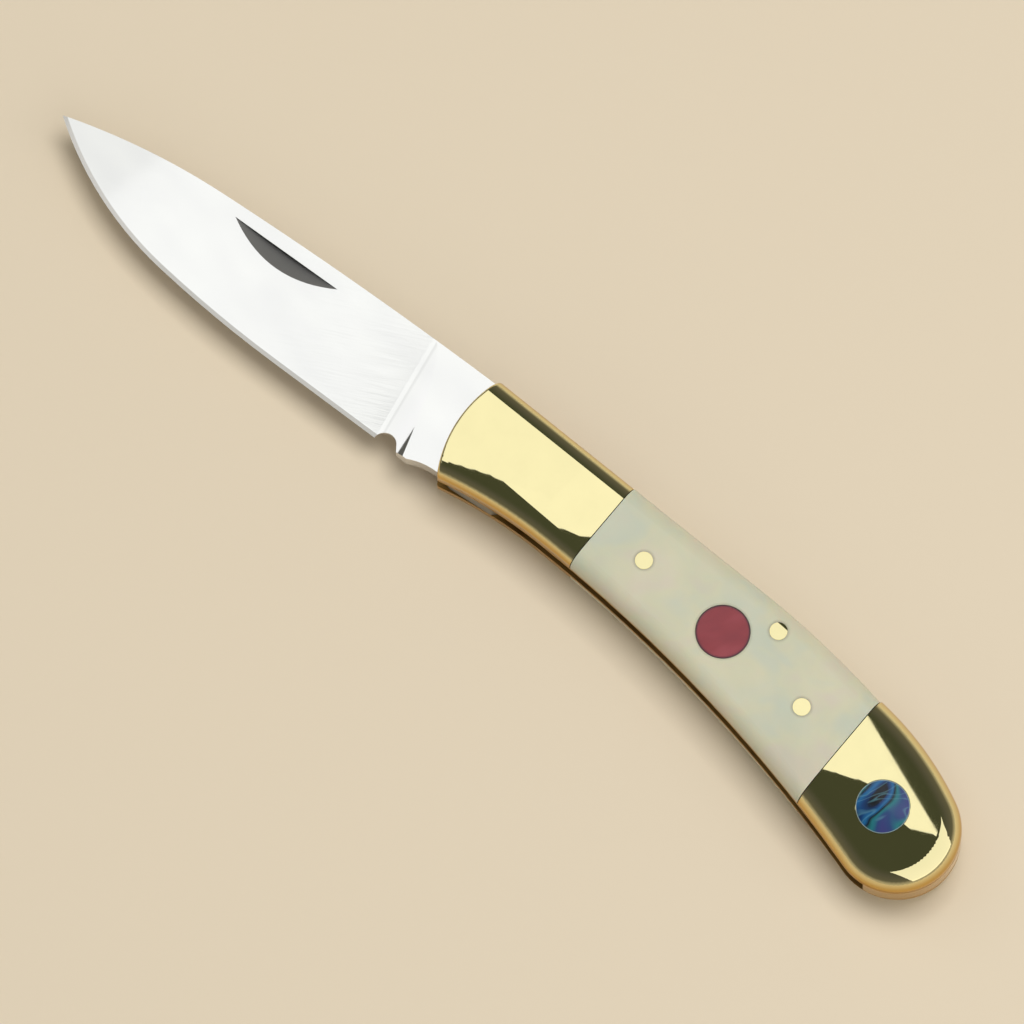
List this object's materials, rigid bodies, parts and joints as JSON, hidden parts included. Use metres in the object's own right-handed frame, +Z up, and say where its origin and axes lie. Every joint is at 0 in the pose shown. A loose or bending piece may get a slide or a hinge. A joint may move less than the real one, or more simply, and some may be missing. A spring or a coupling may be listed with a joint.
{
  "type": "folding pocket knife",
  "caption": "Slip-joint folding pocket knife with a drop-point blade, brass bolsters, pearl scales and inlaid discs.",
  "frame": {"origin": "on the blade's pivot axis, in the flat of the pile-side front bolster that the knife lies on", "axes": "+X from the pivot to the tail of the handle, +Y to the spine, +Z up out of the mark side; the blade is open and points to -X"},
  "size_m": [0.1338, 0.0189, 0.0092],
  "materials": {
    "blade_steel": "mirror-polished stainless steel",
    "spring_steel": "satin stainless spring steel",
    "brass": "polished brass",
    "bolster_brass": "mirror-polished brass",
    "pearl": "polished mother-of-pearl, satin gloss",
    "red_inlay": "polished dark red stone or resin",
    "abalone": "polished abalone shell, blue and teal with dark veins"
  },
  "bodies": {
    "handle": {"backspring": "spring_steel", "tail_spacer": "brass", "pivot_pin": "brass", "spring_centre_pin": "brass", "spring_end_pin": "brass", "tail_pin": "brass", "mark_liner": "brass", "mark_front_bolster": "bolster_brass", "mark_rear_bolster": "bolster_brass", "mark_scale": "pearl", "mark_front_scale_pin": "brass", "mark_rear_scale_pin": "brass", "mark_red_inlay": "red_inlay", "mark_shell_inlay": "abalone", "pile_liner": "brass", "pile_front_bolster": "bolster_brass", "pile_rear_bolster": "bolster_brass", "pile_scale": "pearl", "pile_front_scale_pin": "brass", "pile_rear_scale_pin": "brass", "pile_red_inlay": "red_inlay", "pile_shell_inlay": "abalone"},
    "blade": {"blade": "blade_steel"}
  },
  "joints": [
    {"name": "blade_fold", "type": "hinge", "parent": "handle", "child": "blade", "pos_m": [0, 0, 0], "axis": [0, 0, 1], "range_deg": [0, 173.5], "deforming": ["backspring"]}
  ]
}
